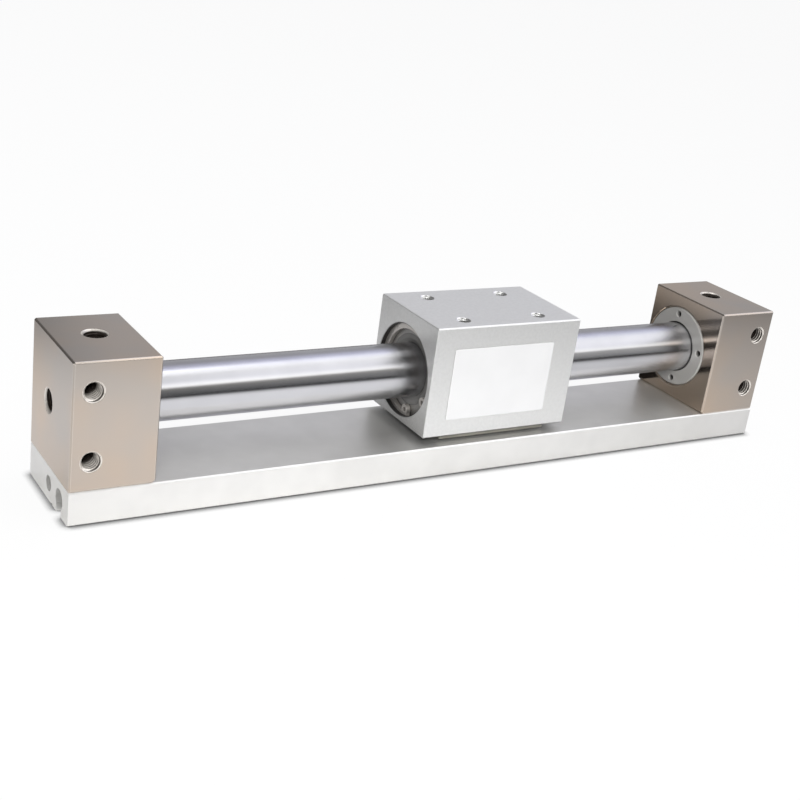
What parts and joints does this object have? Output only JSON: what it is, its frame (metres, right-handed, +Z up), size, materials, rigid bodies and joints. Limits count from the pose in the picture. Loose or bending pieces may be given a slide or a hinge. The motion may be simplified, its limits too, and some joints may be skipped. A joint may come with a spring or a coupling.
{
  "type": "rodless pneumatic cylinder",
  "caption": "Magnetically coupled rodless air cylinder: a square slider runs on a polished tube between two end covers on a switch rail, driven by a magnetic piston inside.",
  "frame": {"origin": "on the rail's underside, below the tube axis, at the middle of the stroke", "axes": "+X along the tube, +Y away from the covers' mounting face, +Z up through the slider's top"},
  "size_m": [0.176, 0.0257, 0.0338],
  "materials": {
    "rail_anodised": "extruded, clear anodised, fine matt",
    "screw_steel": "cold headed steel, zinc plated",
    "tube_stainless": "drawn and honed stainless steel, polished outside",
    "cover_nickel": "milled aluminium, electroless nickel plated, satin",
    "ring_anodised": "turned aluminium, hard anodised, satin",
    "spring_steel": "stamped spring steel, phosphated",
    "seal_rubber": "moulded nitrile rubber",
    "scraper_rubber": "moulded nitrile rubber, oiled",
    "bumper_urethane": "moulded urethane rubber",
    "wear_resin": "filled bearing resin",
    "slider_anodised": "extruded, bead blasted, clear anodised",
    "holder_aluminium": "turned aluminium, anodised",
    "shaft_stainless": "ground stainless steel",
    "yoke_steel": "punched rolled steel, zinc plated",
    "switch_magnet": "sintered magnet, matt",
    "magnet_nickel": "sintered rare earth magnet, nickel plated",
    "label_film": "bare white polyester film",
    "piston_brass": "turned brass"
  },
  "bodies": {
    "frame": {"cylinder_tube": "tube_stainless", "left_cover": "cover_nickel", "left_fixing_ring": "ring_anodised", "left_tube_gasket": "seal_rubber", "left_tube_snap_ring": "spring_steel", "rail_screws": "screw_steel", "right_cover": "cover_nickel", "right_fixing_ring": "ring_anodised", "right_tube_gasket": "seal_rubber", "right_tube_snap_ring": "spring_steel", "switch_rail": "rail_anodised"},
    "piston": {"inner_magnet_1": "magnet_nickel", "inner_magnet_2": "magnet_nickel", "inner_magnet_3": "magnet_nickel", "inner_magnet_4": "magnet_nickel", "inner_yoke_1": "yoke_steel", "inner_yoke_2": "yoke_steel", "inner_yoke_3": "yoke_steel", "inner_yoke_4": "yoke_steel", "inner_yoke_5": "yoke_steel", "left_bumper": "bumper_urethane", "left_piston": "piston_brass", "left_piston_seal": "seal_rubber", "left_piston_washer": "holder_aluminium", "left_piston_wear_ring": "wear_resin", "piston_shaft": "shaft_stainless", "right_bumper": "bumper_urethane", "right_piston": "piston_brass", "right_piston_seal": "seal_rubber", "right_piston_washer": "holder_aluminium", "right_piston_wear_ring": "wear_resin"},
    "slider": {"label": "label_film", "left_circlip": "spring_steel", "left_end_holder": "holder_aluminium", "left_scraper": "scraper_rubber", "left_slider_wear_ring": "wear_resin", "outer_magnet_1": "magnet_nickel", "outer_magnet_2": "magnet_nickel", "outer_magnet_3": "magnet_nickel", "outer_magnet_4": "magnet_nickel", "outer_yoke_1": "yoke_steel", "outer_yoke_2": "yoke_steel", "outer_yoke_3": "yoke_steel", "outer_yoke_4": "yoke_steel", "outer_yoke_5": "yoke_steel", "right_circlip": "spring_steel", "right_end_holder": "holder_aluminium", "right_scraper": "scraper_rubber", "right_slider_wear_ring": "wear_resin", "slider_body": "slider_anodised", "switch_magnet": "switch_magnet"}
  },
  "joints": [
    {"name": "piston_slide", "type": "slide", "parent": "frame", "child": "piston", "axis": [1, 0, 0], "range_m": [-0.0595, 0.0405]},
    {"name": "slider_rock", "type": "hinge", "parent": "piston", "child": "slider", "pos_m": [0.0095, 0, 0.02], "axis": [1, 0, 0], "range_deg": [-6, 2]}
  ]
}
